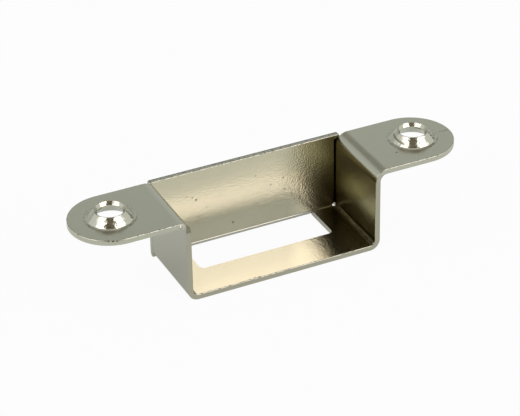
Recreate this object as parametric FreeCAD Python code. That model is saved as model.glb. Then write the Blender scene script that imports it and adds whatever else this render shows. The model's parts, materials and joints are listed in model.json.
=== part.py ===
"""Box strike plate for a rim lock, folded from one sheet of nickel plated steel.

Millimetres. X runs along the plate and Y from the open front to the back wall. Z points up, from the
underside of the box to the mounting faces of the ears. The origin is on that underside, midway between
the screw holes.

The strip is an ear, a side wall, the floor, a side wall and an ear. The back wall is a flange that is
folded up from the back edge of the floor. It covers the side walls too, where it stands free of them
behind a slit, and a relief hole ends each slit. The screw holes are drawn up into dimples, hollow
underneath, so that countersunk heads seat from below.
"""
import FreeCAD, Part
import math
import os

V = FreeCAD.Vector

# Sheet and strip
sheet = 1.0
overall_length = 77.0
strip_width = 16.0
inner_length = 37.2
ear_height = 16.8
ear_bend_r = 1.4
floor_bend_r = 1.0
sheared_edge_r = 0.15

# Screw holes and the dimples around them
hole_spacing = 61.4
hole_r = 2.3
throat_length = 0.3
throat_rise = 1.1
dimple_rise = 1.8
dimple_base_r = 4.4
dimple_crest_r = 2.9
dimple_hollow_r = 3.8
dimple_foot_fillet = 0.4
dimple_crest_fillet = 0.12
dimple_hollow_fillet = 0.5

# Back wall, its fold, the relief holes and the free lower edges beyond them
back_height = 16.4
back_bend_r = 0.2
fold_end_gap = 0.5
back_corner_r = 0.35
relief_r = 0.4
relief_lap = 0.05
tab_lift = 0.35

# Slot in the floor, open to the fold of the back wall
slot_length = 27.4
slot_front_margin = 7.5
slot_corner_r = 0.9
slot_fold_deg = 33.0

# Derived places
front = -strip_width / 2
back = strip_width / 2
inner_x = inner_length / 2
outer_x = inner_x + sheet
hole_x = hole_spacing / 2
ear_end_x = overall_length / 2
ear_round_x = ear_end_x - strip_width / 2
ear_low = ear_height - sheet
back_inner_y = back + back_bend_r
back_outer_y = back_inner_y + sheet
fold_half = inner_x - fold_end_gap
relief_x = fold_half + relief_r - relief_lap
dimple_rim_r = dimple_base_r + 2 * dimple_foot_fillet

# How far a cutting solid runs past what it cuts, and how near counts as touching
overrun = 0.5
touch = 1e-3


def in_xz(x, z):
    """Point of the lengthwise section plane."""
    return V(x, 0, z)


def in_yz(y, z):
    """Point of the crosswise section plane."""
    return V(0, y, z)


def rounded_face(corners, place):
    """Face with straight sides between corners (u, v, radius). A tangent arc of that radius rounds each."""
    points = [place(u, v) for u, v, radius in corners]
    arcs = []
    for k, point in enumerate(points):
        radius = corners[k][2]
        to_last = (points[k - 1] - point).normalize()
        to_next = (points[(k + 1) % len(points)] - point).normalize()
        half_angle = to_last.getAngle(to_next) / 2
        reach = radius / math.tan(half_angle)
        depth = radius / math.sin(half_angle) - radius
        middle = point + (to_last + to_next).normalize() * depth
        arcs.append((point + to_last * reach, middle, point + to_next * reach))
    edges = []
    for k, (start, middle, end) in enumerate(arcs):
        last_end = arcs[k - 1][2]
        if last_end.distanceToPoint(start) > touch:
            edges.append(Part.makeLine(last_end, start))
        if corners[k][2] > 0:
            edges.append(Part.Arc(start, middle, end).toShape())
    return Part.Face(Part.Wire(edges))


def soften(shape, picks, radius):
    """Rounds the edges that picks accepts."""
    chosen = [edge for edge in shape.Edges if picks(edge)]
    return shape.makeFillet(radius, chosen)


def strip_section():
    """Section of the folded strip: its upper side from left to right, then its lower side back."""
    corners = [
        (-ear_end_x, ear_height, 0),
        (-inner_x, ear_height, ear_bend_r + sheet),
        (-inner_x, sheet, floor_bend_r),
        (inner_x, sheet, floor_bend_r),
        (inner_x, ear_height, ear_bend_r + sheet),
        (ear_end_x, ear_height, 0),
        (ear_end_x, ear_low, 0),
        (outer_x, ear_low, ear_bend_r),
        (outer_x, 0, floor_bend_r + sheet),
        (-outer_x, 0, floor_bend_r + sheet),
        (-outer_x, ear_low, ear_bend_r),
        (-ear_end_x, ear_low, 0),
    ]
    return rounded_face(corners, in_xz)


def folded_strip():
    """The strip with full round ear ends. The shearing rolled the edges of its upper side over."""
    section = strip_section()
    section.translate(V(0, front, 0))
    body = section.extrude(V(0, strip_width, 0))
    outline = Part.makeBox(2 * ear_round_x, strip_width, ear_height, V(-ear_round_x, front, 0))
    for x in (-ear_round_x, ear_round_x):
        outline = outline.fuse(Part.makeCylinder(strip_width / 2, ear_height, V(x, 0, 0)))
    body = body.common(outline).removeSplitter()
    return soften(body, is_rolled_edge, sheared_edge_r)


def is_rolled_edge(edge):
    """True for an edge whose middle is on the strip's outline in plan and on its upper side."""
    middle = edge.valueAt((edge.FirstParameter + edge.LastParameter) / 2)
    past_round = max(abs(middle.x) - ear_round_x, 0)
    on_outline = abs(math.hypot(past_round, middle.y) - strip_width / 2) < touch
    return on_outline and on_upper_side(abs(middle.x), middle.z)


def on_upper_side(x, z):
    """True for a point on top of an ear, on the outside of an ear's bend or inside the box."""
    bend_r = ear_bend_r + sheet
    from_bend = math.hypot(x - inner_x - bend_r, z - ear_height + bend_r)
    on_ear = z > ear_height - touch
    on_bend = x > inner_x + touch and abs(from_bend - bend_r) < touch
    in_box = x < inner_x + touch and z > sheet - touch
    return on_ear or on_bend or in_box


def back_flange():
    """The back wall with its fold up from the floor, cut free behind each side wall."""
    corners = [
        (back, sheet, 0),
        (back_inner_y, sheet, back_bend_r),
        (back_inner_y, back_height, 0),
        (back_outer_y, back_height, 0),
        (back_outer_y, 0, back_bend_r + sheet),
        (back, 0, 0),
    ]
    section = rounded_face(corners, in_yz)
    section.translate(V(-outer_x, 0, 0))
    flange = section.extrude(V(2 * outer_x, 0, 0))
    length = outer_x - fold_half + overrun
    for x in (fold_half, -fold_half - length):
        slit = Part.makeBox(length, back_bend_r, back_height, V(x, back, 0))
        below = Part.makeBox(length, back_outer_y - back + overrun, tab_lift, V(x, back, 0))
        flange = flange.cut(slit).cut(below)
    flange = soften(flange, is_top_corner, back_corner_r)
    return soften(flange, is_flange_rim, sheared_edge_r)


def is_top_corner(edge):
    """True for an edge through the thickness of the back wall, at its top."""
    box = edge.BoundBox
    return box.ZMin > back_height - touch and box.XLength < touch


def is_flange_rim(edge):
    """True for an edge along the top, a top corner or an upright end of the back wall's inner face."""
    box = edge.BoundBox
    on_inner_face = box.YMax < back_inner_y + touch
    near_top = box.ZMin > back_height - back_corner_r - touch
    at_end = box.XLength < touch and min(abs(box.XMin), abs(box.XMax)) > outer_x - touch
    return on_inner_face and (near_top or at_end)


def fold_root():
    """Square back edge of the floor where the fold leaves it, in place of the softened one."""
    depth = 2 * sheared_edge_r
    return Part.makeBox(2 * fold_half, depth, sheet, V(-fold_half, back - depth, 0))


def relief_hole(side):
    """Cutter of the round hole at an end of the fold, on the radius that halves the fold."""
    axis = V(0, 1, -1).normalize()
    fold_centre = V(side * relief_x, back, sheet + back_bend_r)
    length = relief_r + back_bend_r + sheet + overrun
    return Part.makeCylinder(relief_r, length, fold_centre - axis * relief_r, axis)


def slot_cutter():
    """Cutter of the punched slot. Its back face is a radius of the fold, because it was flat when punched."""
    centre_z = sheet + back_bend_r
    low = -overrun
    slot_front = front + slot_front_margin
    reach = (centre_z - low) * math.tan(math.radians(slot_fold_deg))
    corners = [
        (slot_front, low, 0),
        (back + reach, low, 0),
        (back, centre_z, 0),
        (slot_front, centre_z, 0),
    ]
    section = rounded_face(corners, in_yz)
    section.translate(V(-slot_length / 2, 0, 0))
    prism = section.extrude(V(slot_length, 0, 0))

    def is_front_corner(edge):
        box = edge.BoundBox
        return box.XLength < touch and box.YLength < touch and box.YMax < slot_front + touch

    return soften(prism, is_front_corner, slot_corner_r)


def dimple(x):
    """Revolved dimple: the cone and funnel around the hole, with a flat rim that joins the ear."""
    throat_high = ear_height + throat_rise
    corners = [
        (dimple_rim_r, ear_height, 0),
        (dimple_base_r, ear_height, dimple_foot_fillet),
        (dimple_crest_r, ear_height + dimple_rise, dimple_crest_fillet),
        (hole_r, throat_high, 0),
        (hole_r, throat_high - throat_length, 0),
        (dimple_hollow_r, ear_low, dimple_hollow_fillet),
        (dimple_rim_r, ear_low, 0),
    ]
    ring = rounded_face(corners, in_xz).revolve(V(0, 0, 0), V(0, 0, 1), 360)
    ring.translate(V(x, 0, 0))
    return ring


def ear_opening(x):
    """Cutter of the round piece of an ear that a dimple takes the place of."""
    return Part.makeCylinder(dimple_rim_r, sheet + 2 * overrun, V(x, 0, ear_low - overrun))


def strike_plate():
    """The whole plate as one solid."""
    plate = folded_strip().fuse(fold_root()).fuse(back_flange())
    for side in (-1, 1):
        plate = plate.cut(relief_hole(side))
    plate = plate.cut(slot_cutter())
    for x in (-hole_x, hole_x):
        plate = plate.cut(ear_opening(x)).fuse(dimple(x))
    return plate.removeSplitter()


os.makedirs("parts", exist_ok=True)
plate = strike_plate()
print("solids", len(plate.Solids), "valid", plate.isValid(), "volume", round(plate.Volume, 3))
plate.Solids[0].exportStep("parts/strike_plate.step")
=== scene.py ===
"""Looks of the box strike plate: satin nickel plating on folded sheet steel, in a small pale studio.

Lengths are in metres where Blender needs them. The material works in millimetres, on Object coordinates.
"""
import json
import math

import bpy
from mathutils import Matrix, Vector


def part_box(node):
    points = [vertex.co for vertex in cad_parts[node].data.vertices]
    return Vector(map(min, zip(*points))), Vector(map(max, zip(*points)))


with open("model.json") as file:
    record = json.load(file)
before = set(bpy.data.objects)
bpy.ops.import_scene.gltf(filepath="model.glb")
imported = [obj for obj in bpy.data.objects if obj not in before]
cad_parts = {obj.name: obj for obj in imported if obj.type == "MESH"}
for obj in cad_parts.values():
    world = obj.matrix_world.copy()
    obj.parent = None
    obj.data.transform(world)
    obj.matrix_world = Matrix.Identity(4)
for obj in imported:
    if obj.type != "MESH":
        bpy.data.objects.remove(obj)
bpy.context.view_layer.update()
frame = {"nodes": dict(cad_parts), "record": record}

MM = 0.001


# Places on the plate, in millimetres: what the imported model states, and the sheet's own faces

def mount(name):
    """The record's mount of that name."""
    return next(m for m in frame["record"]["mounts"] if m["name"] == name)


low, high = (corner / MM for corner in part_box("strike_plate"))
sheet = 1.0
hole_x = mount("screw_holes")["dims"]["spacing_x_mm"] / 2
dimple_foot_r = 4.4
half_width = 8.0
inner_x = 18.6
ear_round_x = high.x - half_width
ear_bend_r = 2.4
ear_z = mount("ear_face_right")["pos_m"][2] / MM
ear_low = ear_z - sheet
ear_bend_z = ear_z - ear_bend_r
floor_z = sheet
back_inner_y = 8.2
back_outer_y = back_inner_y + sheet
back_top = 16.4


# Shader maths

class Wire:
    """A socket that computes. An operator between wires, or a wire and a number, adds its Math node."""

    def __init__(self, graph, socket):
        self.graph = graph
        self.socket = socket

    def math(self, operation, *others):
        return self.graph.math(operation, self, *others)

    def __add__(self, other):
        return self.math("ADD", other)

    def __sub__(self, other):
        return self.math("SUBTRACT", other)

    def __mul__(self, other):
        return self.math("MULTIPLY", other)

    def __truediv__(self, other):
        return self.math("DIVIDE", other)

    def __rsub__(self, other):
        return self.graph.math("SUBTRACT", other, self)

    def __rtruediv__(self, other):
        return self.graph.math("DIVIDE", other, self)

    def __abs__(self):
        return self.math("ABSOLUTE")

    __radd__ = __add__
    __rmul__ = __mul__

    def most(self, other):
        """The larger of two values."""
        return self.math("MAXIMUM", other)

    def least(self, other):
        """The smaller of two values."""
        return self.math("MINIMUM", other)

    def rise(self, start, end):
        """0 before start and 1 after end, with a smooth step between them. It falls where end is less."""
        settings = {"interpolation_type": "SMOOTHSTEP"}
        if start < end:
            return self.graph.add("ShaderNodeMapRange", settings, [self, start, end, 0.0, 1.0])
        return self.graph.add("ShaderNodeMapRange", settings, [self, end, start, 1.0, 0.0])


class Graph:
    """The nodes of one material or world."""

    # Sockets of a Mix node that mixes colours
    MIX_FACTOR, MIX_FIRST, MIX_SECOND, MIXED = 0, 6, 7, 2

    def __init__(self, owner):
        owner.use_nodes = True
        self.tree = owner.node_tree
        self.tree.nodes.clear()

    def add(self, kind, settings=None, inputs=(), output=0):
        """A node of that type, with its settings made first and then its sockets, by place or by name."""
        node = self.tree.nodes.new(kind)
        for name, value in (settings or {}).items():
            setattr(node, name, value)
        pairs = inputs.items() if isinstance(inputs, dict) else enumerate(inputs)
        for key, value in pairs:
            if isinstance(value, Wire):
                self.tree.links.new(value.socket, node.inputs[key])
            else:
                node.inputs[key].default_value = value
        return Wire(self, node.outputs[output]) if node.outputs else None

    def math(self, operation, *inputs):
        """A Math node of wires and numbers."""
        return self.add("ShaderNodeMath", {"operation": operation}, inputs)

    def spread(self, vector):
        """The three parts of a vector."""
        parts = self.add("ShaderNodeSeparateXYZ", None, [vector]).socket.node
        return [Wire(self, socket) for socket in parts.outputs]

    def mix(self, factor, first, second):
        """Colour that goes from first to second."""
        inputs = {self.MIX_FACTOR: factor, self.MIX_FIRST: first, self.MIX_SECOND: second}
        return self.add("ShaderNodeMix", {"data_type": "RGBA"}, inputs, output=self.MIXED)

    def noise(self, place, scale, detail=2.0, roughness=0.5):
        """Soft cloud noise about 0.5, with its scale in cells per unit of place."""
        inputs = {"Vector": place, "Scale": scale, "Detail": detail, "Roughness": roughness}
        return self.add("ShaderNodeTexNoise", None, inputs)

    def scaled(self, vector, factors):
        """A vector with each part times its own factor."""
        return self.add("ShaderNodeVectorMath", {"operation": "MULTIPLY"}, [vector, factors])


# Nickel plate

NICKEL = (0.564, 0.53, 0.452, 1.0)
# Painted light on the back wall: lit copies of the nickel, lighter to the right and towards the top
BACK_WALL_PAINTED_LIGHT = (0.60, 0.56, 0.435, 1.0)
BACK_RIGHT_PAINTED_LIGHT = (0.79, 0.73, 0.55, 1.0)
BACK_TOP_PAINTED_LIGHT = (0.735, 0.67, 0.52, 1.0)
# Painted shade on the right wall: a dark nickel, darker still near the bends and towards the back
SIDE_WALL_SHADE = (0.50, 0.44, 0.22, 1.0)
SIDE_TOP_SHADE = (0.15, 0.118, 0.04, 1.0)
NICKEL_FLOOR = (0.59, 0.555, 0.50, 1.0)
NICKEL_CUT = (0.52, 0.48, 0.39, 1.0)
NICKEL_EAR_CUT = (0.635, 0.60, 0.505, 1.0)
# Painted shade on the right bend, at the feet of the dimples and along the left bend's crest
PAINTED_SHADE = (0.20, 0.18, 0.12, 1.0)
# Painted shade in the right corner of the floor and the back wall
CORNER_SHADE = (0.20, 0.152, 0.005, 1.0)
# Painted shade in the slit behind the right wall
SLIT_SHADE = (0.02, 0.014, 0.006, 1.0)
FLECK = (0.15, 0.12, 0.12, 1.0)
# Dark pits and worn marks, and painted shade in the groove of the right dimple
PIT_AND_SHADE = (0.16, 0.14, 0.09, 1.0)
# Painted highlight on the burrs and on specks along the right bend's crease
PAINTED_HIGHLIGHT = (0.95, 0.92, 0.84, 1.0)

SATIN = 0.21
SATIN_IN_BOX = 0.22
SATIN_FLOOR = 0.15
POLISHED = 0.13
CLOUD_ROUGHNESS = 0.05

# Heights and depths of the relief, in millimetres
SAND_MM = 0.029
DRAWN_MM = 0.08
NICK_MM = 0.03
BURR_MM = 0.2
GROOVE_MM = 0.05

# Cells of noise per millimetre
SAND_PER_MM = 4.1
FLOOR_SAND_PER_MM = 2.7
BREAKS_PER_MM = 2.6
MOTTLE_PER_MM = 2.2
DRAWN_PER_MM = 1.3
CLOUDS_PER_MM = 0.25

# Share that each finer layer of a ragged noise keeps of the one before
RAGGED = 0.6

# Small pits in the plating of the back wall: x, height and radius
BACK_PITS = (
    (-12.44, 11.43, 0.16),
    (-11.2, 10.9, 0.18),
    (-10.46, 10.22, 0.26),
    (-9.97, 6.37, 0.24),
    (-8.4, 8.1, 0.16),
    (-3.04, 3.28, 0.30),
    (1.9, 12.0, 0.18),
    (5.0, 9.2, 0.16),
    (7.6, 10.1, 0.20),
    (7.9, 7.6, 0.17),
)

# Marks on top of the ears: the two ends, as x and y, and half the width
EAR_MARKS = (
    ((25.4, -3.5), (25.5, -3.4), 0.22),
    ((36.1, -0.2), (38.4, -0.75), 0.07),
    ((36.7, -0.7), (38.65, 0.0), 0.06),
)

# Dark specks on the rolled edge of the left ear and of the floor: the two ends and half the width
EDGE_SPECKS = (
    ((-34.1, -7.0), (-33.9, -7.15), 0.16),
    ((-33.4, -7.4), (-33.1, -7.5), 0.16),
    ((-32.7, -7.65), (-32.5, -7.7), 0.14),
    ((-7.2, -7.8), (-7.1, -7.8), 0.14),
    ((-6.3, -7.75), (-6.1, -7.75), 0.16),
    ((-5.4, -7.8), (-5.2, -7.8), 0.14),
)

# Groove that the drawing left on the right dimple, sunk in the relief and darkened with painted shade: x and
# y of the middle of its circle, and the radius
GROOVE = (31.25, -0.29, 4.17)
GROOVE_HALF_WIDTH = 0.16

# Painted shade at the feet of the dimples, towards the front: x, y and radius
FOOT_SHADES = (
    (-32.8, -4.45, 1.5),
    (28.6, -4.45, 1.5),
)

# Burrs on the front cut face, at the bends of the ears, raised in the relief and lightened with painted
# highlight: x, height and radius
BURRS = (
    (-20.6, 16.2, 0.4),
    (-20.0, 15.6, 0.18),
    (18.95, 15.5, 0.16),
    (19.6, 16.25, 0.18),
    (20.3, 16.6, 0.2),
)

# Share of a mark's half width, or of a spot's radius, that it covers fully
SOLID_SHARE = 0.4


def within(value, start, end, soft):
    """1 where the value lies between start and end, with a soft step at both."""
    return value.rise(start - soft, start + soft) * value.rise(end + soft, end - soft)


def hypotenuse(first, second):
    """Distance from two lengths at right angles."""
    return (first * first + second * second).math("SQRT")


def strokes(first, second, marks):
    """1 along each thin straight mark, whose ends are given by two lengths each."""
    found = None
    for start, end, half in marks:
        run = (end[0] - start[0], end[1] - start[1])
        from_start = (first - start[0]) * run[0] + (second - start[1]) * run[1]
        share = (from_start / (run[0] ** 2 + run[1] ** 2)).most(0.0).least(1.0)
        away = hypotenuse(first - start[0] - share * run[0], second - start[1] - share * run[1])
        mark = away.rise(half, half * SOLID_SHARE)
        found = mark if found is None else found.most(mark)
    return found


def spots(first, second, places):
    """1 in each small spot, whose place is given by two lengths and a radius."""
    found = None
    for first_middle, second_middle, radius in places:
        away = hypotenuse(first - first_middle, second - second_middle)
        spot = away.rise(radius, radius * SOLID_SHARE)
        found = spot if found is None else found.most(spot)
    return found


class Place:
    """A point's place on the plate in millimetres, with masks that are 1 on one face or edge."""

    def __init__(self, graph):
        point = graph.add("ShaderNodeTexCoord", output="Object")
        self.in_mm = graph.scaled(point, (1 / MM, 1 / MM, 1 / MM))
        self.along, self.across, self.height = graph.spread(self.in_mm)
        self.beside = abs(self.along)
        self.before_back = self.across.rise(half_width + 0.1, half_width)
        self.find_ears()
        self.find_box()
        self.find_cuts()
        self.find_rolled_edges()

    def find_ears(self):
        """The ears' top faces and their dimples."""
        self.on_ear_top = self.height.rise(ear_z - 0.2, ear_z - 0.1)
        self.from_hole = hypotenuse(self.beside - hole_x, self.across)
        self.on_dimple = self.from_hole.rise(dimple_foot_r + 0.5, dimple_foot_r + 0.1)
        # Mask of a line of painted shade along the left bend's crest
        crest = within(self.along, -inner_x - 1.0, -inner_x + 0.1, 0.15)
        self.on_left_crest = crest * self.height.rise(ear_bend_z, ear_bend_z + 0.2) * self.before_back

    def find_box(self):
        """The inside of the box, with the slit behind the right wall and the bends of the floor."""
        above_underside = self.height.rise(floor_z - 0.5, floor_z - 0.1)
        self.in_box = self.beside.rise(inner_x + 0.3, inner_x + 0.1) * above_underside
        self.on_back_sheet = within(self.across, back_inner_y - 0.1, back_inner_y + 0.1, 0.05)
        self.on_back_wall = self.on_back_sheet * within(self.height, floor_z + 0.25, back_top - 0.1, 0.12)
        self.on_right_wall = self.in_box * self.along.rise(inner_x - 0.5, inner_x - 0.1) * self.before_back
        self.on_floor = self.in_box * self.height.rise(floor_z + 0.3, floor_z + 0.1) * self.before_back
        bend_along = within(self.along, inner_x - 0.7, inner_x - 0.05, 0.08)
        bend_height = within(self.height, floor_z + 0.05, floor_z + 0.9, 0.1)
        self.on_right_bend = bend_along * bend_height * self.before_back
        crease_beside = within(self.beside, inner_x - 0.4, inner_x - 0.18, 0.06)
        self.on_crease = crease_beside * within(self.height, floor_z + 0.15, floor_z + 0.45, 0.06)
        # Mask of the slit behind the right wall, which is filled with painted shade
        slit_across = within(self.across, half_width - 0.07, back_inner_y + 0.06, 0.05)
        slit_along = self.along.rise(inner_x - 0.3, inner_x - 0.22)
        self.in_slit = slit_across * slit_along * within(self.height, floor_z + 0.05, back_top - 0.8, 0.25)

    def find_cuts(self):
        """The cut faces of the strip and of the back wall's top."""
        from_round = (self.beside - ear_round_x).most(0.0)
        self.from_middle = hypotenuse(from_round, self.across)
        on_outline = self.from_middle.rise(half_width - 0.1, half_width - 0.02) * self.before_back
        self.on_cut = on_outline * self.height.rise(ear_bend_z + 0.6, ear_bend_z - 0.4)
        self.on_ear_cut = on_outline * self.height.rise(ear_low - 0.2, ear_low + 0.1)
        self.on_front_cut = self.across.rise(-half_width + 0.1, -half_width + 0.03)
        past_inner_face = self.across.rise(back_inner_y, back_inner_y + 0.1)
        self.on_top_cut = self.height.rise(back_top - 0.1, back_top - 0.04) * past_inner_face
        self.at_outer_edge = self.across.rise(back_outer_y - 0.35, back_outer_y - 0.25)

    def find_rolled_edges(self):
        """The edges that the shearing rolled over, on the strip's upper side and the back wall's top."""
        on_strip = within(self.from_middle, half_width - 0.2, half_width - 0.03, 0.02) * self.before_back
        on_top = within(self.height, back_top - 0.15, back_top - 0.02, 0.03)
        on_top = on_top * within(self.across, back_inner_y - 0.05, back_inner_y + 0.2, 0.05)
        self.on_rolled_edge = on_strip.most(on_top)
        on_floor_edge = within(self.height, floor_z - 0.15, floor_z + 0.1, 0.05)
        self.on_upper_edge = on_floor_edge.most(self.height.rise(ear_z - 0.3, ear_z - 0.2))


class Marks:
    """Marks of making and use, and masks of painted shade and highlights, each a mask from 0 to 1."""

    def __init__(self, graph, at):
        breaks = graph.noise(at.in_mm, BREAKS_PER_MM, roughness=RAGGED)
        mottle = graph.noise(at.in_mm, MOTTLE_PER_MM, roughness=RAGGED)
        self.drawn = graph.noise(at.in_mm, DRAWN_PER_MM, roughness=RAGGED)
        nicks = breaks.rise(0.54, 0.64) * at.on_rolled_edge
        pits = spots(at.along, at.height, BACK_PITS) * at.on_back_sheet
        scratches = strokes(at.along, at.across, EAR_MARKS) * at.on_ear_top
        specks = strokes(at.along, at.across, EDGE_SPECKS) * at.on_upper_edge
        self.worn = (nicks + pits + scratches + specks).least(1.0)
        # Burrs stand up in the relief and also take painted highlight in the colour
        self.burrs = spots(at.along, at.height, BURRS) * at.on_front_cut
        # Painted highlight specks along the crease of the right bend
        self.crease_glints = breaks.rise(0.42, 0.6) * at.on_crease
        # Painted shade in broken patches, dulling the right bend's highlight
        self.bend_shade = breaks.rise(0.6, 0.5) * at.on_right_bend
        self.flecks = mottle.rise(0.48, 0.6).most(mottle.rise(0.3, 0.5) * at.at_outer_edge) * at.on_top_cut
        # The groove is sunk in the relief and darkened with painted shade in the colour
        self.groove = self.find_groove(at)
        # Painted shade at the dimples' feet: a broken ring round each foot and a spot at the front
        around = within(at.from_hole, dimple_foot_r + 0.15, dimple_foot_r + 0.45, 0.1)
        around = around * self.drawn.rise(0.42, 0.62)
        front = at.from_hole.rise(dimple_foot_r - 0.1, dimple_foot_r + 0.2)
        front = front * spots(at.along, at.across, FOOT_SHADES)
        self.dimple_foot_shade = around.most(front) * at.on_ear_top

    def find_groove(self, at):
        """The groove on the left side of the right dimple: a stretch of a circle that isn't quite centred."""
        middle_x, middle_y, radius = GROOVE
        away = abs(hypotenuse(at.along - middle_x, at.across - middle_y) - radius)
        stretch = within(at.across, -2.4, 1.5, 0.4) * at.along.rise(29.0, 28.5)
        on_cone = at.height.rise(ear_z + 0.1, ear_z + 0.3)
        return away.rise(GROOVE_HALF_WIDTH, GROOVE_HALF_WIDTH / 4) * stretch * on_cone


def plate_relief(graph, at, marks):
    """Height of the finish over the sheet, in millimetres.

    The back wall grows sandier to the right and downwards, and the floor to the right. The dimples are uneven
    from drawing, burrs stand up, and the groove and the worn marks are sunk.
    """
    sand = graph.noise(at.in_mm, SAND_PER_MM, detail=0.0)
    floor_sand = graph.noise(at.in_mm, FLOOR_SAND_PER_MM, detail=0.0)
    back_share = at.along.rise(-12.0, 12.0) * 0.5 + at.height.rise(13.5, 11.0) * 0.28
    share = 0.3 + at.on_back_wall * back_share
    floor_share = at.on_floor * at.along.rise(-2.0, 10.0) * 0.6
    relief = sand * share * SAND_MM + floor_sand * floor_share * SAND_MM
    relief = relief + marks.drawn * at.on_dimple * DRAWN_MM - marks.groove * GROOVE_MM
    return relief + marks.burrs * BURR_MM - marks.worn * NICK_MM


def plate_colour(graph, at, marks):
    """Base colour, each layer laid over the last: painted light on the back wall, painted shade on the right
    wall, the floor's own tint, painted shade in the right corner and on the right bend, the cut faces,
    flecks, painted shade in the slit, at the dimples' feet and on the left crest, painted highlights on the
    burrs and the crease, then worn marks and the groove with its painted shade.
    """
    # Painted light: the back wall goes lighter to the right and towards the top
    back_painted_light = graph.mix(at.along.rise(8.0, 12.0), BACK_WALL_PAINTED_LIGHT, BACK_RIGHT_PAINTED_LIGHT)
    back_painted_light = graph.mix(at.height.rise(7.5, 15.5), back_painted_light, BACK_TOP_PAINTED_LIGHT)
    # Painted shade on the right wall, darker near the bends and towards the back
    near_bends = at.height.rise(6.0, 14.0).most(within(at.height, 1.6, 2.4, 0.15))
    near_back = at.across.rise(-8.0, 2.0) * 0.5
    side_shade = graph.mix(near_bends.most(near_back), SIDE_WALL_SHADE, SIDE_TOP_SHADE)
    # Painted shade in the right corner of the floor and the back wall
    right_corner_shade = (at.on_floor + at.on_back_wall).least(1.0) * at.along.rise(14.0, 19.0)
    layers = (
        (at.on_back_wall, back_painted_light),
        (at.on_right_wall, side_shade),
        (at.on_floor, NICKEL_FLOOR),
        (right_corner_shade * 0.7, CORNER_SHADE),
        (marks.bend_shade * 0.6, PAINTED_SHADE),
        (at.on_cut, NICKEL_CUT),
        (at.on_ear_cut, NICKEL_EAR_CUT),
        (marks.flecks * 0.7, FLECK),
        (at.in_slit, SLIT_SHADE),
        ((marks.dimple_foot_shade * 0.5).most(at.on_left_crest * 0.7), PAINTED_SHADE),
        ((marks.burrs * 0.9).most(marks.crease_glints * 0.8), PAINTED_HIGHLIGHT),
        (marks.worn.most(marks.groove) * 0.75, PIT_AND_SHADE),
    )
    colour = NICKEL
    for mask, tint in layers:
        colour = graph.mix(mask, colour, tint)
    return colour


def plate_roughness(graph, at):
    """Satin with faint clouds, smoother on the floor and polished on the dimples."""
    clouds = graph.noise(at.in_mm, CLOUDS_PER_MM)
    satin = SATIN + at.in_box.most(at.on_back_wall) * (SATIN_IN_BOX - SATIN)
    satin = satin + at.on_floor * (SATIN_FLOOR - SATIN_IN_BOX)
    return satin + (clouds - 0.5) * CLOUD_ROUGHNESS + at.on_dimple * (POLISHED - SATIN)


def nickel_plate():
    """Satin nickel plating on rolled sheet.

    The ears are smooth and the inside of the box is sandy, with painted light on the back wall and painted
    shade on the right wall. The dimples are polished and a little uneven from drawing. Nicks break the rolled
    edges.
    """
    material = bpy.data.materials.new("satin_nickel_plate")
    graph = Graph(material)
    at = Place(graph)
    marks = Marks(graph, at)
    relief = {"Height": plate_relief(graph, at, marks), "Strength": 1.0, "Distance": MM}
    surface = {
        "Base Color": plate_colour(graph, at, marks),
        "Metallic": 1.0,
        "Roughness": plate_roughness(graph, at),
        "Normal": graph.add("ShaderNodeBump", None, relief),
    }
    shader = graph.add("ShaderNodeBsdfPrincipled", None, surface)
    graph.add("ShaderNodeOutputMaterial", None, [shader])
    return material


def dress_plate():
    """Gives the CAD plate its finish."""
    plate = frame["nodes"]["strike_plate"]
    plate.material_slots[0].material = nickel_plate()


# Studio

FLOOR_HALF = 20.0
FLOOR_WHITE = (0.65, 0.72, 0.68, 1.0)
WHITE = (1.0, 1.0, 1.0, 1.0)

# Shares of white that the camera, and the metal and glass, see in place of the lit floor
CAMERA_LIFT = 0.95
METAL_LIFT = 0.3


def floor_material():
    """Matt white. What the camera, the metal and glass see of it is lifted towards white."""
    material = bpy.data.materials.new("white_floor")
    graph = Graph(material)
    path = graph.add("ShaderNodeLightPath").socket.node
    camera = Wire(graph, path.outputs["Is Camera Ray"])
    glossy = Wire(graph, path.outputs["Is Glossy Ray"])
    transmission = Wire(graph, path.outputs["Is Transmission Ray"])
    lift = (camera * CAMERA_LIFT).most(glossy.most(transmission) * METAL_LIFT)
    matt = graph.add("ShaderNodeBsdfDiffuse", None, {"Color": FLOOR_WHITE})
    white = graph.add("ShaderNodeEmission", None, {"Color": WHITE, "Strength": 1.0})
    shader = graph.add("ShaderNodeMixShader", None, [lift, matt, white])
    graph.add("ShaderNodeOutputMaterial", None, [shader])
    return material


def make_floor():
    """A flat square floor under the plate."""
    mesh = bpy.data.meshes.new("floor")
    half = FLOOR_HALF
    z = low.z * MM
    corners = [(-half, -half, z), (half, -half, z), (half, half, z), (-half, half, z)]
    mesh.from_pydata(corners, [], [(0, 1, 2, 3)])
    mesh.materials.append(floor_material())
    floor = bpy.data.objects.new("floor", mesh)
    bpy.context.scene.collection.objects.link(floor)


DEGREES = math.degrees(1)
ROOM = (0.14, 0.13, 0.08)

# The studio's pale surfaces: azimuth of the middle, half width, lowest and highest elevation, width of the
# soft edge, all in degrees, and the light each gives. Azimuth 0 is the open front and turns towards +X.
STUDIO = {
    "wall_behind": (-175, 72, -5, 37, 3, (0.57, 0.63, 0.59)),
    "wall_behind_high": (-175, 72, 42, 74, 4, (0.45, 0.47, 0.42)),
    "screen_left": (-112, 26, -5, 44, 8, (0.88, 0.94, 0.92)),
    "screen_right": (77, 27, -5, 44, 8, (0.84, 0.90, 0.86)),
    "softbox_left": (-77, 24, 14, 60, 4, (2.4, 2.4, 2.4)),
    "softbox_right": (33, 25, 14, 60, 4, (2.65, 2.65, 2.65)),
    "panel_above": (0, 190, 70, 100, 6, (0.9, 0.9, 0.9)),
    "grey_camera_side": (-22, 28, 38, 62, 4, (0.22, 0.20, 0.15)),
    "dark_camera_side": (-24, 34, -5, 42, 4, (0.02, 0.016, 0.006)),
}


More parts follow.
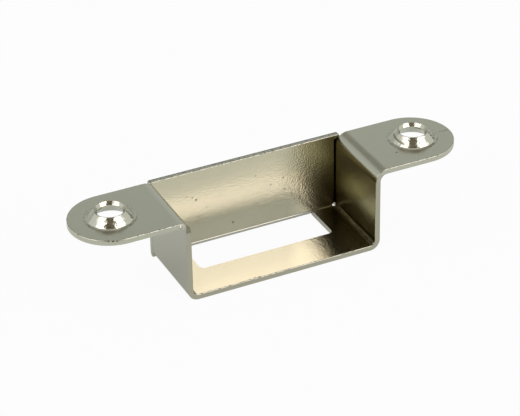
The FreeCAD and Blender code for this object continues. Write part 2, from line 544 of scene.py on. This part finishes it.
def make_world():
    """A dim room with pale walls and screens, a softbox on each side of the camera and a panel above."""
    world = bpy.data.worlds.new("studio")
    bpy.context.scene.world = world
    graph = Graph(world)
    x, y, z = graph.spread(graph.add("ShaderNodeTexCoord", output="Generated"))
    elevation = z.math("ARCSINE") * DEGREES
    light = (*ROOM, 1.0)
    for middle, half, bottom, top, edge, glow in STUDIO.values():
        turn = math.radians(middle)
        across = x * math.cos(turn) + y * math.sin(turn)
        along = x * math.sin(turn) - y * math.cos(turn)
        away = abs(across.math("ARCTAN2", along)) * DEGREES
        mask = away.rise(half + edge / 2, half - edge / 2)
        mask = mask * elevation.rise(bottom - edge / 2, bottom + edge / 2)
        mask = mask * elevation.rise(top + edge / 2, top - edge / 2)
        light = graph.mix(mask, light, (*glow, 1.0))
    background = graph.add("ShaderNodeBackground", None, [light, 1.0])
    graph.add("ShaderNodeOutputWorld", None, [background])


def direction_of(azimuth_deg, elevation_deg):
    """Unit vector from the plate. Azimuth 0 is the open front, and it turns towards +X."""
    azimuth = math.radians(azimuth_deg)
    elevation = math.radians(elevation_deg)
    flat = math.cos(elevation)
    return Vector((math.sin(azimuth) * flat, -math.cos(azimuth) * flat, math.sin(elevation)))


# Camera, from the fit of the plate's edges to the photograph, in degrees, metres and pixels

CAMERA_YAW_DEG = -25.348
CAMERA_ELEVATION_DEG = 31.596
CAMERA_ROLL_DEG = -1.106
CAMERA_DISTANCE = 0.4019
CAMERA_AIM = Vector((-1.238, 0.0, 10.344)) * MM
FOCAL_PIXELS = 2183.0
IMAGE_WIDTH = 520
SENSOR_WIDTH = 36.0
CLIP_NEAR = 0.01
CLIP_FAR = 20.0


def make_camera():
    """A long lens that looks down on the plate from the front left."""
    lens = bpy.data.cameras.new("camera")
    lens.sensor_width = SENSOR_WIDTH
    lens.lens = FOCAL_PIXELS * SENSOR_WIDTH / IMAGE_WIDTH
    lens.clip_start, lens.clip_end = CLIP_NEAR, CLIP_FAR
    camera = bpy.data.objects.new("camera", lens)
    back = direction_of(CAMERA_YAW_DEG, CAMERA_ELEVATION_DEG)
    yaw = math.radians(CAMERA_YAW_DEG)
    right = Vector((math.cos(yaw), math.sin(yaw), 0.0))
    up = back.cross(right)
    roll = math.radians(-CAMERA_ROLL_DEG)
    turned_right = right * math.cos(roll) - up * math.sin(roll)
    turned_up = up * math.cos(roll) + right * math.sin(roll)
    turn = Matrix((turned_right, turned_up, back)).transposed()
    camera.matrix_world = Matrix.Translation(CAMERA_AIM + back * CAMERA_DISTANCE) @ turn.to_4x4()
    bpy.context.scene.collection.objects.link(camera)
    bpy.context.scene.camera = camera


dress_plate()
make_floor()
make_world()
make_camera()
bpy.context.scene.view_settings.view_transform = "Standard"
